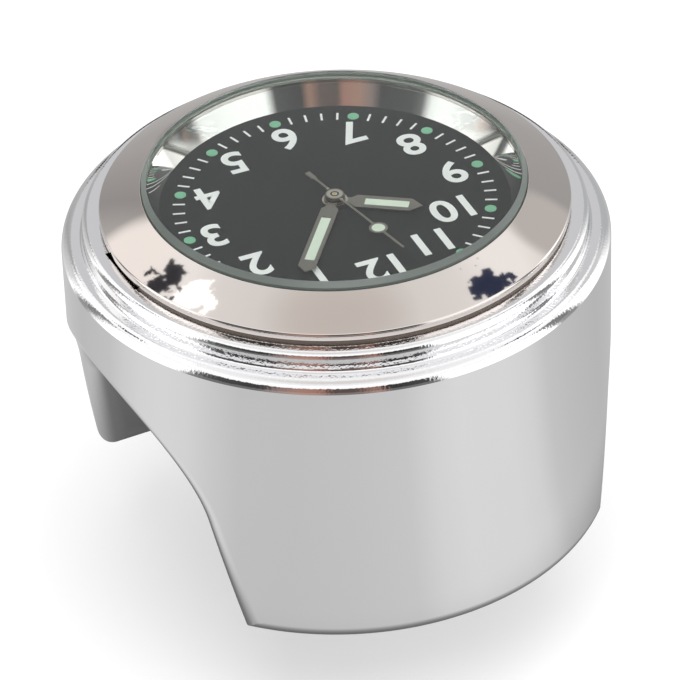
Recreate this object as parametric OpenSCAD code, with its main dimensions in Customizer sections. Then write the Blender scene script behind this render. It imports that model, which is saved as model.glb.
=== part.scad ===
// Clamp-on clock for a handlebar: a chromed arched housing that straddles the bar,
// a lower strap with two cap screws, and a round quartz clock that lifts out of the top.
// Millimetres. Origin on the bar's axis, under the middle of the dial. +X runs along the
// bar, +Y points to the 12 o'clock side and +Z up through the crystal.

/* [Handlebar] */
// Diameter of the bar that the saddle grips
bar_d = 22.2; // [21:0.1:23]
// Thickness of the rubber strips that touch the bar
pad_t = 0.9; // [0.5:0.1:1.2]
// Gap between the bar and the metal of the saddle
saddle_gap = 0.2; // [0.1:0.05:0.4]
// Length of the upper rubber strip along the bar
bar_pad_len = 20; // [14:1:24]
// Angle that the upper rubber strip covers
bar_pad_arc = 150; // [120:5:160]
// Angle that the lower rubber strip covers
strap_pad_arc = 110; // [80:5:120]

/* [Housing] */
// Outer diameter of the round body
body_d = 47; // [46:0.5:50]
// Width of the shoulder outside the raised collar
shoulder_w = 1.9; // [1.5:0.05:2.2]
// Width of the collar's rim that shows round the bezel
collar_w = 1.3; // [1:0.05:1.6]
// Height of the collar above the shoulder
collar_h = 1.75; // [1.4:0.05:2.2]
// Radius of the collar's top edge
collar_round = 0.55; // [0.3:0.05:0.8]
// Radius of the fillet at the collar's foot
collar_foot = 0.35; // [0.2:0.05:0.5]
// Radius of the body's shoulder
shoulder_round = 1.1; // [0.6:0.1:1.4]
// Radius of the outer edge under the legs
leg_round = 2.3; // [1:0.1:2.6]
// Depth of the legs below the bar's axis
leg_drop = 8; // [7.6:0.1:9]
// Lean of the legs' inner faces
leg_flare = 12; // [8:0.5:14]
// Radius of the legs' inner bottom edges
leg_inner_round = 1.5; // [0.8:0.1:2]
// Radius of the fillet round the mouth of the arch
mouth_round = 2.2; // [1.4:0.1:2.4]
// Metal between the saddle and the floor of the clock's pocket
web_t = 3.7; // [3:0.1:5]
// Width of the slot that clears the crown
crown_slot_w = 6; // [5:0.5:8]

/* [Clamp] */
// Width of the lower strap along the bar
strap_w = 11; // [9:0.5:12]
// Thickness of the lower strap
strap_t = 1.6; // [1.2:0.1:2]
// Depth of each clamp screw's axis inside the body's wall
screw_inset = 5.6; // [5.3:0.1:5.9]
// Thread diameter of the clamp screws
screw_d = 3; // [2.5:0.1:3]
// Length of the clamp screws under the head
screw_len = 12; // [10:0.5:13]
// Head diameter of the clamp screws
screw_head_d = 5.5; // [5:0.1:5.6]
// Head height of the clamp screws
screw_head_h = 3; // [2.5:0.1:3.2]
// Thickness of the spring washers
washer_t = 0.4; // [0.3:0.05:0.6]
// Hexagon socket across its flats
socket_af = 2.5; // [2:0.1:2.6]

/* [Clock case] */
// Turn of the clock in its pocket, seen from above, away from the bar's line
clock_turn = -3.4; // [-8:0.1:8]
// Wall of the case ring
case_wall = 1.5; // [1.3:0.05:1.6]
// Radial gap between the case and its pocket
pocket_gap = 0.4; // [0.3:0.05:0.5]
// Overhang of the bezel past the case ring
bezel_lip = 1.5; // [1.3:0.05:1.7]
// Height of the bezel's upright rim
bezel_rim_h = 0.5; // [0.4:0.05:0.7]
// Depth from the crystal's top to the bezel's flange
flange_depth = 3.15; // [3:0.05:3.3]
// Thickness of the rubber ring under the bezel's flange
seat_gasket_t = 0.25; // [0.2:0.05:0.4]
// Distance from the case's bore in to the crystal's edge
crystal_inset = 0.9; // [0.75:0.05:1]
// Thickness of the crystal
crystal_t = 1.6; // [1.3:0.05:1.8]
// Height of the crystal's edge that stands above the bezel
crystal_stand = 0.65; // [0.5:0.05:0.8]
// Space between the dial and the crystal
hand_space = 2.3; // [2.1:0.05:2.6]
// Width of the flange ring that shows inside the crystal's edge
rehaut_w = 1.4; // [1.2:0.05:1.6]
// Thickness of the dial
dial_t = 0.4; // [0.3:0.05:0.6]
// Thickness of the case back
back_t = 0.9; // [0.7:0.1:1.4]
// Section diameter of the case's O-ring
oring_d = 0.7; // [0.6:0.05:0.75]

/* [Dial and hands] */
// Distance from the dial's edge in to the circle of luminous dots
dot_inset = 1.7; // [1.4:0.05:2.1]
// Diameter of a luminous dot
dot_d = 1.0; // [0.6:0.05:1.2]
// Length of the hour hand
hour_len = 7.6; // [6:0.1:9]
// Length of the minute hand
minute_len = 11.2; // [9:0.1:12]
// Length of the second hand
second_len = 10.0; // [8:0.1:11.5]
// Hour that the hands show, in twelfths of a turn from 12 o'clock
shown_hour = 10.1; // [0:0.1:12]
// Minute that the hands show
shown_minute = 6; // [0:0.5:60]
// Second that the hands show
shown_second = 58; // [0:1:60]

/* [Movement] */
// Diameter of the movement
movement_d = 23; // [22.6:0.1:24]
// Height of the movement under the dial
movement_h = 3.5; // [3.4:0.1:4]
// Diameter of the button cell
battery_d = 6.8; // [6:0.1:6.9]
// Height of the button cell
battery_h = 2.6; // [2:0.1:2.6]
// Diameter of the crown
crown_d = 2.6; // [2.2:0.1:3]
// Outward travel of the crown when it is pulled
crown_pull = 0.7; // [0.4:0.1:0.8]

/* [Hidden] */
$fn = 96;
fine = 32;
cut = 1;
body_r = body_d / 2;
collar_r = body_r - shoulder_w;
bezel_r = collar_r - collar_w;
bar_r = bar_d / 2;
saddle_r = bar_r + saddle_gap;
seat_r = bar_r + pad_t;
leg_z = -leg_drop;
case_r = bezel_r - bezel_lip;
case_bore_r = case_r - case_wall;
pocket_r = case_r + pocket_gap;
crystal_r = case_bore_r - crystal_inset;
dial_open_r = crystal_r - rehaut_w;
dot_circle_r = dial_open_r - dot_inset;
screw_y = body_r - screw_inset;

// Heights, stacked up from the bar's axis
pocket_z = saddle_r + web_t;
back_z = pocket_z + 0.3;
back_top = back_z + back_t;
dial_seat = back_top + movement_h;
dial_top = dial_seat + dial_t;
crystal_z = dial_top + hand_space;
crystal_top = crystal_z + crystal_t;
flange_z = crystal_top - flange_depth;
rim_z = flange_z - seat_gasket_t;
tread_z = rim_z - collar_h;
bezel_top = crystal_top - crystal_stand;
dot_t = 0.06;

// Clamp
ear_gap = 0.8;
head_recess = 0.2;
screw_gap = 0.05;
ear_top = leg_z + head_recess + screw_head_h + washer_t + strap_t;
leg_pocket_z = ear_top + ear_gap;
leg_pocket_y = screw_y + screw_head_d / 2 + 0.4;
strap_in = bar_r + pad_t;
strap_out = strap_in + strap_t;
head_z = leg_z + head_recess;
tap_depth = head_z + screw_head_h + screw_len + 0.8;

// Case
gasket_t = 0.15;
bezel_edge = 0.12;
bezel_in = crystal_r + gasket_t;
shelf_z = crystal_z - 0.2;
shelf_t = 0.3;
shelf_r = crystal_r - 0.4;
skirt_r = case_bore_r - 0.1;
skirt_in = skirt_r - 0.4;
skirt_z = flange_z - 0.55;
rehaut_out = skirt_in - 0.2;
rehaut_top = shelf_z - shelf_t;
back_gasket_t = 0.3;
back_inset = 0.4;
back_edge = 0.2;
back_fit = 0.05;
back_lip_w = 0.6;
back_lip_h = 0.9;
case_low = back_top + back_gasket_t;
oring_z = flange_z - 0.65;
groove_h = oring_d + 0.1;
groove_r = pocket_r - 0.05 - oring_d;
oring_mid = groove_r + 0.02 + oring_d / 2;
holder_out = case_bore_r - 0.2;
dial_r = skirt_in - 0.1;

// Movement levels, measured up from the case back
plate_low = dial_seat - 1.6;
motion_z = dial_seat - 0.8;
stem_z = plate_low;
bridge_z = back_top + 0.2;
bridge_t = 0.3;
movement_r = movement_d / 2;
dial_hole_r = 1.0;
foot_r = 0.35;
foot_len = 0.6;
foot_ring_r = movement_r - 1.4;
foot_angles = [45, 225];
wheel_t = 0.15;
deck_h = 0.4;
centre_wheel_z = plate_low - wheel_t - 0.1;
third_wheel_z = centre_wheel_z - deck_h;
seconds_wheel_z = third_wheel_z - deck_h;
fifth_wheel_z = seconds_wheel_z + 0.3;
stator_t = 0.3;
stator_z = plate_low - stator_t - 0.15;
pivot_r = 0.12;
pivot_gap = 0.03;

// Teeth and modules of the train
rotor_teeth = 8;
fifth_teeth = 48;
fifth_pinion = 8;
seconds_teeth = 40;
seconds_pinion = 8;
third_teeth = 60;
third_pinion = 8;
centre_teeth = 64;
cannon_teeth = 12;
minute_teeth = 36;
minute_pinion = 10;
hour_teeth = 40;
setting_teeth = 12;
rotor_module = 0.09;
seconds_module = 0.12;
third_module = 0.09;
cannon_module = 0.12;
fifth_dist = seconds_module * (seconds_teeth + fifth_pinion) / 2;
rotor_dist = rotor_module * (fifth_teeth + rotor_teeth) / 2;
third_dist = third_module * (third_teeth + seconds_pinion) / 2;
centre_module = 2 * third_dist / (centre_teeth + third_pinion);
minute_dist = cannon_module * (minute_teeth + cannon_teeth) / 2;
hour_module = 2 * minute_dist / (hour_teeth + minute_pinion);
setting_dist = cannon_module * (minute_teeth + setting_teeth) / 2;
third_angle = 120;
fifth_angle = -20;
rotor_angle = -60;
third_pos = third_dist * [cos(third_angle), sin(third_angle)];
fifth_pos = fifth_dist * [cos(fifth_angle), sin(fifth_angle)];
rotor_pos = fifth_pos + rotor_dist * [cos(rotor_angle), sin(rotor_angle)];
minute_pos = [minute_dist, 0];
setting_pos = [minute_dist + setting_dist, 0];

// Places of the still parts, seen from the dial
battery_pos = [-5.3, -5.0];
battery_z = bridge_z + 0.05;
pillar_a = [4.9, 3.6];
pillar_b = [-4.3, -0.4];
pillar_r = 0.8;
coil_pos = [2.5, -8.2];
coil_len = 6;
coil_r = 1.05;
coil_z = plate_low - 0.3;
core_end = 1.2;
quartz_pos = [3.5, 7.7];
quartz_len = 6;
quartz_r = 1.0;
quartz_z = plate_low - 0.35;
rotor_r = 0.75;
rotor_hole_r = 1.05;
board_z = plate_low - 1.2;
board_t = 0.3;
board_low = [-movement_r, 1.4];
board_size = [7.4, 5.2];
chip_pos = [-7.0, 3.6];
chip_r = 1.1;
chip_h = 0.55;

// Arbors and tubes at the centre, inner to outer
second_arbor_r = 0.15;
centre_tube_r = 0.45;
centre_tube_in = 0.2;
hour_tube_r = 0.75;
hour_tube_in = 0.5;
hand_t = 0.12;
hour_hand_lift = 0.2;
minute_hand_lift = 0.42;
second_hand_lift = 0.75;
second_tube_len = 0.15;
hour_hand_z = dial_top + hour_hand_lift;
minute_hand_z = dial_top + minute_hand_lift;
second_hand_z = dial_top + second_hand_lift;
lume_gap = 0.01;

// Crown and stem
stem_r = 0.4;
stem_in = 6.2;
groove_x = 8.9;
crown_in = case_r - 0.9;
crown_len = 1.2;
crown_clear = 0.3;

// Point at a radius and an angle
function polar(r, a) = [r * cos(a), r * sin(a)];

// Upright tube or disc between two heights
module tube(ro, ri, z0, z1) {
    translate([0, 0, z0])
        difference() {
            cylinder(r = ro, h = z1 - z0);
            if (ri > 0)
                translate([0, 0, -cut])
                    cylinder(r = ri, h = z1 - z0 + 2 * cut);
        }
}

// Flat square-ended bar between two points of a plane, with round ends
module link(a, b, w) {
    d = b - a;
    translate(a)
        rotate(atan2(d[1], d[0]))
            translate([0, -w / 2])
                square([norm(d), w]);
    translate(a)
        circle(d = w, $fn = fine);
    translate(b)
        circle(d = w, $fn = fine);
}

// Everything that belongs to the clock turns with it in the pocket
module clock_frame() {
    rotate(clock_turn)
        children();
}

// Toothed wheel with a tooth centred on the given angle
module gear(teeth, module_mm, z, t, bore, phase = 0) {
    pitch = 360 / teeth;
    root = module_mm * (teeth / 2 - 1.15);
    tip = module_mm * (teeth / 2 + 0.85);
    teeth_points = [
        for (i = [0 : teeth - 1])
            for (p = [[root, -0.29], [tip, -0.1], [tip, 0.1], [root, 0.29]])
                polar(p[0], phase + (i + p[1]) * pitch)
    ];
    translate([0, 0, z])
        linear_extrude(t)
            difference() {
                polygon(teeth_points);
                circle(r = bore, $fn = fine);
            }
}

// Ring sector along the X axis, centred on an angle in the Y-Z plane
module arc_strip(ro, ri, len, mid, span) {
    rotate([0, 90, 0])
        rotate(mid + 90 - span / 2)
            translate([0, 0, -len / 2])
                rotate_extrude(angle = span)
                    translate([ri, 0])
                        square([ro - ri, len]);
}

// Section of the housing before the arch is cut, as radius and height
module housing_section() {
    difference() {
        union() {
            translate([0, leg_z])
                square([body_r, tread_z - leg_z]);
            translate([0, tread_z - cut])
                square([collar_r, rim_z - tread_z + cut]);
            translate([collar_r - cut, tread_z - cut])
                square([collar_foot + cut, collar_foot + cut]);
        }
        translate([body_r - shoulder_round, tread_z - shoulder_round])
            difference() {
                square(shoulder_round + cut);
                circle(shoulder_round);
            }
        translate([body_r - leg_round, leg_z + leg_round])
            mirror([0, 1])
                difference() {
                    square(leg_round + cut);
                    circle(leg_round);
                }
        translate([collar_r - collar_round, rim_z - collar_round])
            difference() {
                square(collar_round + cut);
                circle(collar_round);
            }
        translate([collar_r + collar_foot, tread_z + collar_foot])
            circle(collar_foot);
        translate([0, pocket_z])
            square([pocket_r, rim_z - pocket_z + cut]);
        polygon([
            [pocket_r - cut, rim_z + cut], [pocket_r - cut, rim_z - 0.3 - cut],
            [pocket_r, rim_z - 0.3], [pocket_r + 0.3, rim_z], [pocket_r + 0.3, rim_z + cut]
        ]);
    }
}

// Half width of the arch at a height below the tangent of its round top
function leg_face(z) =
    saddle_r * cos(leg_flare) + (saddle_r * sin(leg_flare) - z) * tan(leg_flare);

edge_steps = 5;
skim = 0.04;

// Outline of the arch: a half round that leans outwards down the legs
module arch_outline() {
    low = leg_z - cut;
    flare_y = saddle_r * cos(leg_flare);
    flare_z = saddle_r * sin(leg_flare);
    round_z = leg_z + leg_inner_round;
    round_y = leg_face(round_z) + leg_inner_round / cos(leg_flare);
    half = concat(
        [[flare_y, flare_z]],
        [for (k = [0 : edge_steps])
            let (
                a = 180 + leg_flare + (90 - leg_flare) * k / edge_steps,
                r = leg_inner_round + (k == edge_steps ? skim : 0)
            )
                [round_y, round_z] + r * [cos(a), sin(a)]],
        [[round_y, low]]
    );
    circle(saddle_r);
    polygon(concat(half, [for (i = [len(half) - 1 : -1 : 0]) [-half[i][0], half[i][1]]]));
}

// Points of the arch with the direction into the metal: up one leg, over and down
mouth_low = leg_z - 2;
mouth_steps = 30;
leg_steps = 3;
flare_top = saddle_r * sin(leg_flare);
function arch_line(k) = mouth_low + (flare_top - mouth_low) * k / leg_steps;
arch_path = concat(
    [for (k = [0 : leg_steps - 1])
        [leg_face(arch_line(k)), arch_line(k), cos(leg_flare), sin(leg_flare)]],
    [for (k = [0 : mouth_steps])
        let (a = leg_flare + (180 - 2 * leg_flare) * k / mouth_steps)
            [saddle_r * cos(a), saddle_r * sin(a), cos(a), sin(a)]],
    [for (k = [leg_steps - 1 : -1 : 0])
        [-leg_face(arch_line(k)), arch_line(k), -cos(leg_flare), sin(leg_flare)]]
);

// One ring of the rounding cutter: a ball between the arch and the round body
arc_steps = 8;
function mouth_ring(p) =
    let (
        n = [0, p[2], p[3]],
        c_yz = [p[0], p[1]] + mouth_round * [p[2], p[3]],
        in_r = body_r - mouth_round,
        c = [sqrt(in_r * in_r - c_yz[0] * c_yz[0]), c_yz[0], c_yz[1]],
        out = [c[0], c[1], 0] / in_r,
        w = acos(-n * out),
        bulge = (mouth_round + 0.8) / mouth_round
    )
    concat(
        [for (k = [0 : arc_steps])
            let (
                s = k / arc_steps,
                r = mouth_round + (k == 0 || k == arc_steps ? skim : 0)
            )
                c + r * (sin((1 - s) * w) * -n + sin(s * w) * out) / sin(w)],
        [c + bulge * mouth_round * out,
         c + bulge * mouth_round * (out - n) / (1 + cos(w)),
         c - bulge * mouth_round * n]
    );

// Cutter that rounds the edge where the arch breaks through the round body
module mouth_cutter() {
    ring_n = arc_steps + 4;
    count = len(arch_path);
    points = [for (p = arch_path) each mouth_ring(p)];
    sides = [
        for (i = [0 : count - 2])
            for (j = [0 : ring_n - 1])
                let (
                    a = i * ring_n + j,
                    b = i * ring_n + (j + 1) % ring_n,
                    c = (i + 1) * ring_n + (j + 1) % ring_n,
                    d = (i + 1) * ring_n + j
                )
                each [[a, b, c], [a, c, d]]
    ];
    last = (count - 1) * ring_n;
    start_cap = [for (j = [ring_n - 1 : -1 : 0]) j];
    end_cap = [for (j = [0 : ring_n - 1]) last + j];
    polyhedron(points, concat(sides, [start_cap, end_cap]), convexity = 6);
}

module housing() {
    color("gainsboro")
        difference() {
            rotate_extrude()
                housing_section();
            rotate([90, 0, 90])
                translate([0, 0, -body_r - cut])
                    linear_extrude(body_d + 2 * cut)
                        arch_outline();
            arc_strip(seat_r, bar_r - cut, bar_pad_len + 0.1, 90, bar_pad_arc + 1);
            for (side = [0, 1]) {
                mirror([side, 0, 0])
                    mouth_cutter();
                mirror([0, side, 0]) {
                    translate([-strap_w / 2 - 0.3, 0, leg_z - cut])
                        cube([strap_w + 0.6, leg_pocket_y, leg_pocket_z - leg_z + cut]);
                    translate([0, screw_y, leg_z])
                        cylinder(r = screw_d / 2 + screw_gap, h = tap_depth - leg_z, $fn = fine);
                }
            }
            translate([0, -crown_slot_w / 2, back_z])
                cube([bezel_r - 0.15, crown_slot_w, rim_z - back_z + cut]);
        }
}

module bar_pad() {
    color("dimgray")
        arc_strip(seat_r - 0.02, bar_r, bar_pad_len, 90, bar_pad_arc);
}

module clamp_strap() {
    ear_from = strap_in * cos(asin(-ear_top / strap_in)) + 0.1;
    ear_to = leg_pocket_y - 0.35;
    color("silver")
        difference() {
            union() {
                intersection() {
                    rotate([0, 90, 0])
                        tube(strap_out, strap_in, -strap_w / 2, strap_w / 2);
                    translate([-strap_w, -body_r, -body_r])
                        cube([2 * strap_w, body_d, body_r + ear_top]);
                }
                for (side = [0, 1])
                    mirror([0, side, 0])
                        translate([-strap_w / 2, ear_from, ear_top - strap_t])
                            cube([strap_w, ear_to - ear_from, strap_t]);
            }
            for (side = [-1, 1])
                translate([0, side * screw_y, ear_top - strap_t - cut])
                    cylinder(r = screw_d / 2 + 0.1, h = strap_t + 2 * cut, $fn = fine);
        }
}

module strap_pad() {
    color("dimgray")
        arc_strip(strap_in - 0.02, bar_r, strap_w, -90, strap_pad_arc);
}

// Socket-head cap screw standing head down
module cap_screw() {
    difference() {
        union() {
            translate([0, 0, head_z])
                cylinder(d = screw_head_d, h = screw_head_h, $fn = fine);
            translate([0, 0, head_z + screw_head_h])
                cylinder(d = screw_d, h = screw_len, $fn = fine);
        }
        translate([0, 0, head_z - cut])
            cylinder(d = socket_af / cos(30), h = 1.5 + cut, $fn = 6);
        translate([0, 0, head_z])
            rotate_extrude($fn = fine)
                polygon([
                    [screw_head_d / 2 - 0.3, -cut], [screw_head_d / 2 - 0.3, 0],
                    [screw_head_d / 2, 0.3], [screw_head_d / 2 + cut, 0.3],
                    [screw_head_d / 2 + cut, -cut]
                ]);
    }
}

module clamp_screw_12() {
    color("silver")
        translate([0, screw_y, 0])
            cap_screw();
}

module clamp_screw_6() {
    color("silver")
        translate([0, -screw_y, 0])
            cap_screw();
}

module spring_washers() {
    color("gray")
        for (side = [-1, 1])
            translate([0, side * screw_y, 0])
                tube(screw_head_d / 2 - 0.1, screw_d / 2 + 0.1,
                     head_z + screw_head_h, ear_top - strap_t);
}

module bezel() {
    rim_top = flange_z + bezel_rim_h;
    color("rosybrown")
        rotate_extrude()
            polygon([
                [bezel_in, bezel_top - bezel_edge], [bezel_in + bezel_edge, bezel_top],
                [bezel_r - 0.3, rim_top + 0.14], [bezel_r - 0.1, rim_top + 0.02],
                [bezel_r, rim_top - bezel_edge], [bezel_r, flange_z + 0.1],
                [bezel_r - 0.1, flange_z], [skirt_r, flange_z], [skirt_r, skirt_z],
                [skirt_in, skirt_z], [skirt_in, shelf_z - shelf_t],
                [shelf_r, shelf_z - shelf_t], [shelf_r, shelf_z], [bezel_in, shelf_z]
            ]);
}

module case_ring() {
    color("silver")
        clock_frame()
            difference() {
                tube(case_r, case_bore_r, case_low, flange_z);
                rotate_extrude()
                    translate([groove_r, oring_z - groove_h / 2])
                        square([case_r, groove_h]);
                translate([crown_in - crown_clear, 0, stem_z])
                    rotate([0, 90, 0])
                        cylinder(d = crown_d + 0.6, h = 4, $fn = fine);
                translate([case_bore_r - 2, 0, stem_z])
                    rotate([0, 90, 0])
                        cylinder(r = stem_r + 0.2, h = 6, $fn = fine);
            }
}

module crystal() {
    edge = 0.2;
    chamfer = 0.42;
    color("lightcyan", 0.4)
        rotate_extrude()
            polygon([
                [0, crystal_z], [crystal_r - edge, crystal_z], [crystal_r, crystal_z + edge],
                [crystal_r, crystal_top - chamfer], [crystal_r - chamfer, crystal_top],
                [0, crystal_top]
            ]);
}

module crystal_gasket() {
    inner = crystal_r + 0.01;
    top = bezel_top - 0.2;
    color("black")
        rotate_extrude()
            polygon([
                [shelf_r, shelf_z], [bezel_in - 0.01, shelf_z], [bezel_in - 0.01, top],
                [inner, top], [inner, crystal_z - 0.01], [shelf_r, crystal_z - 0.01]
            ]);
}

module rehaut_ring() {
    color("whitesmoke")
        rotate_extrude()
            polygon([
                [dial_open_r, dial_top], [rehaut_out, dial_top], [rehaut_out, rehaut_top],
                [shelf_r - 0.3, rehaut_top], [shelf_r - 0.35, rehaut_top - 0.15]
            ]);
}

module dial() {
    color("dimgray")
        tube(dial_r, dial_hole_r, dial_seat, dial_top);
    color("dimgray")
        clock_frame()
            for (a = foot_angles)
                translate(concat(polar(foot_ring_r, a), dial_seat - foot_len))
                    cylinder(r = foot_r, h = foot_len, $fn = fine);
}

module lume_dots() {
    color("palegreen")
        clock_frame()
            for (i = [0 : 11])
                translate(concat(polar(dot_circle_r, 30 * i), dial_top))
                    cylinder(d = dot_d, h = dot_t, $fn = fine);
}

module seat_gasket() {
    color("black")
        tube(bezel_r - 0.35, pocket_r + 0.35, rim_z, flange_z);
}

module case_oring() {
    color("black")
        translate([0, 0, oring_z])
            rotate_extrude()
                translate([oring_mid, 0])
                    circle(d = oring_d, $fn = fine);
}

module case_back() {
    color("silver")
        rotate_extrude()
            polygon([
                [0, back_z], [case_r - back_inset - back_edge, back_z],
                [case_r - back_inset, back_z + back_edge], [case_r - back_inset, back_top],
                [case_bore_r - back_fit, back_top], [case_bore_r - back_fit, back_top + back_lip_h],
                [case_bore_r - back_lip_w, back_top + back_lip_h],
                [case_bore_r - back_lip_w, back_top], [0, back_top]
            ]);
}

module back_gasket() {
    color("black")
        tube(case_r - 0.5, case_bore_r + 0.05, back_top, case_low);
}

module movement_holder() {
    color("white")
        clock_frame()
            difference() {
                tube(holder_out, movement_r + 0.1, back_top + 0.95, dial_seat);
                tube(dial_r + 1, case_bore_r - 0.7, back_top, back_top + 1.1);
                translate([movement_r - 1, 0, stem_z])
                    rotate([0, 90, 0])
                        cylinder(r = stem_r + 0.3, h = case_r, $fn = fine);
            }
}

// Round hole through the plate for one arbor
module pivot_hole(p, r, z0, z1) {
    translate([p[0], p[1], z0])
        cylinder(r = r, h = z1 - z0, $fn = fine);
}

module main_plate() {
    color("goldenrod")
        clock_frame()
            difference() {
                union() {
                    tube(movement_r, 0, plate_low, dial_seat);
                    tube(movement_r, movement_r - 0.6, bridge_z, plate_low);
                    for (p = [pillar_a, pillar_b])
                        translate([p[0], p[1], bridge_z + bridge_t])
                            cylinder(r = pillar_r, h = plate_low - bridge_z - bridge_t, $fn = fine);
                }
                // Recess for the motion work under the dial
                pivot_hole([0, 0], hour_module * hour_teeth / 2 + 0.35, motion_z, dial_seat + cut);
                pivot_hole(minute_pos, cannon_module * minute_teeth / 2 + 0.35, motion_z,
                           dial_seat + cut);
                pivot_hole(setting_pos, cannon_module * setting_teeth / 2 + 0.3, motion_z,
                           dial_seat + cut);
                // Arbor holes
                pivot_hole([0, 0], centre_tube_r + pivot_gap, plate_low - cut, dial_seat + cut);
                for (p = [third_pos, fifth_pos, rotor_pos])
                    pivot_hole(p, pivot_r + pivot_gap, plate_low - cut, plate_low + 0.4);
                for (p = [minute_pos, setting_pos])
                    pivot_hole(p, pivot_r + pivot_gap, motion_z - 0.4, motion_z + cut);
                // Windows for the cell, the coil and the quartz can
                pivot_hole(battery_pos, battery_d / 2 + 0.1, plate_low - cut,
                           battery_z + battery_h + 0.05);
                translate([coil_pos[0] - coil_len / 2 - core_end - 0.2, coil_pos[1] - coil_r - 0.15,
                           plate_low - cut])
                    cube([coil_len + 2 * core_end + 0.4, 2 * coil_r + 0.3, coil_r + 0.2 + cut]);
                translate([quartz_pos[0] - quartz_len / 2 - 0.2, quartz_pos[1] - quartz_r - 0.15,
                           plate_low - cut])
                    cube([quartz_len + 0.4, 2 * quartz_r + 0.3, quartz_r + cut]);
                // Channel for the stem, its pinion and its lever
                translate([stem_in - 1.3, -1.0, plate_low - cut])
                    cube([3.2, 2.0, cut + 0.95]);
                translate([stem_in, -stem_r - 0.1, bridge_z])
                    cube([movement_r, 2 * stem_r + 0.2, plate_low - bridge_z + stem_r + 0.1]);
                // Screw holes and the sockets for the dial's feet
                for (p = [pillar_a, pillar_b])
                    pivot_hole(p, 0.32, bridge_z, plate_low + 0.5);
                for (a = foot_angles)
                    pivot_hole(polar(foot_ring_r, a), foot_r + 0.05, dial_seat - foot_len - 0.1,
                               dial_seat + cut);
            }
}

module train_bridge() {
    color("goldenrod")
        clock_frame()
            translate([0, 0, bridge_z])
                linear_extrude(bridge_t)
                    difference() {
                        union() {
                            link(pillar_b, [0, 0], 2.2);
                            link([0, 0], pillar_a, 2.2);
                            link([0, 0], third_pos, 1.8);
                            link([0, 0], fifth_pos, 2.0);
                            link(fifth_pos, rotor_pos, 1.8);
                            circle(r = 1.7);
                        }
                        for (p = [[0, 0], third_pos, fifth_pos, rotor_pos])
                            translate(p)
                                circle(r = pivot_r + pivot_gap, $fn = fine);
                        for (p = [pillar_a, pillar_b])
                            translate(p)
                                circle(r = 0.35, $fn = fine);
                    }
}

module bridge_screws() {
    color("silver")
        clock_frame()
            for (p = [pillar_a, pillar_b])
                translate([p[0], p[1], 0]) {
                    tube(0.3, 0, bridge_z, plate_low + 0.4);
                    difference() {
                        tube(0.65, 0, bridge_z - 0.15, bridge_z);
                        translate([-1, -0.08, bridge_z - 0.15 - cut])
                            cube([2, 0.16, 0.1 + cut]);
                    }
                }
}

module circuit_block() {
    color("darkgreen")
        clock_frame() {
            translate([0, 0, board_z])
                linear_extrude(board_t)
                    intersection() {
                        circle(r = movement_r - 0.8);
                        translate(board_low)
                            square(board_size);
                    }
            translate(concat(chip_pos, board_z + board_t))
                cylinder(r = chip_r, h = chip_h, $fn = fine);
        }
}

module quartz_can() {
    color("silver")
        clock_frame()
            translate([quartz_pos[0] - quartz_len / 2, quartz_pos[1], quartz_z])
                rotate([0, 90, 0])
                    cylinder(r = quartz_r, h = quartz_len, $fn = fine);
}

module coil() {
    color("peru")
        clock_frame()
            translate([coil_pos[0], coil_pos[1], coil_z])
                rotate([0, 90, 0]) {
                    difference() {
                        translate([0, 0, -coil_len / 2])
                            cylinder(r = coil_r, h = coil_len, $fn = fine);
                        translate([-0.16, -0.46, -coil_len])
                            cube([0.32, 0.92, 2 * coil_len]);
                    }
                }
}

module stator() {
    arm_rise = coil_r + 0.85;
    left_end = coil_pos - [coil_len / 2 + core_end / 2, 0];
    right_end = coil_pos + [coil_len / 2 + core_end / 2, 0];
    color("lightslategray")
        clock_frame() {
            translate([0, 0, stator_z])
                linear_extrude(stator_t)
                    difference() {
                        union() {
                            for (end = [left_end, right_end]) {
                                link(end, end + [0, arm_rise], 1.0);
                                link(end + [0, arm_rise], rotor_pos, 1.0);
                            }
                            translate(rotor_pos)
                                circle(r = 1.85, $fn = fine);
                        }
                        translate(rotor_pos)
                            circle(r = rotor_hole_r, $fn = fine);
                    }
            translate([coil_pos[0] - coil_len / 2 - core_end, coil_pos[1] - 0.45, coil_z - 0.15])
                cube([coil_len + 2 * core_end, 0.9, 0.3]);
        }
}

// Angle at which one wheel shows a gap to a neighbour at the given direction
function gap_to(direction, teeth) = direction + 180 / teeth;

module rotor() {
    color("darkslategray")
        clock_frame()
            translate([rotor_pos[0], rotor_pos[1], 0]) {
                tube(rotor_r, 0, stator_z - 0.05, stator_z + 0.35);
                gear(rotor_teeth, rotor_module, fifth_wheel_z - 0.05, wheel_t + 0.4, 0.01,
                     rotor_angle + 180);
                tube(pivot_r, 0, bridge_z + 0.05, plate_low + 0.3);
            }
}

module fifth_wheel() {
    color("gold")
        clock_frame()
            translate([fifth_pos[0], fifth_pos[1], 0]) {
                gear(fifth_teeth, rotor_module, fifth_wheel_z, wheel_t, 0.01,
                     gap_to(rotor_angle, fifth_teeth));
                gear(fifth_pinion, seconds_module, seconds_wheel_z - 0.05, 0.4, 0.01,
                     fifth_angle + 180);
                tube(pivot_r, 0, bridge_z + 0.05, plate_low + 0.3);
            }
}

module seconds_wheel() {
    color("gold")
        clock_frame() {
            gear(seconds_teeth, seconds_module, seconds_wheel_z, wheel_t, 0.01,
                 gap_to(fifth_angle, seconds_teeth));
            gear(seconds_pinion, third_module, seconds_wheel_z, third_wheel_z - seconds_wheel_z + 0.2,
                 0.01, third_angle);
            tube(pivot_r, 0, bridge_z + 0.05, seconds_wheel_z + 0.1);
            tube(second_arbor_r - 0.005, 0, seconds_wheel_z, second_hand_z + hand_t + 0.06);
        }
}

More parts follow.
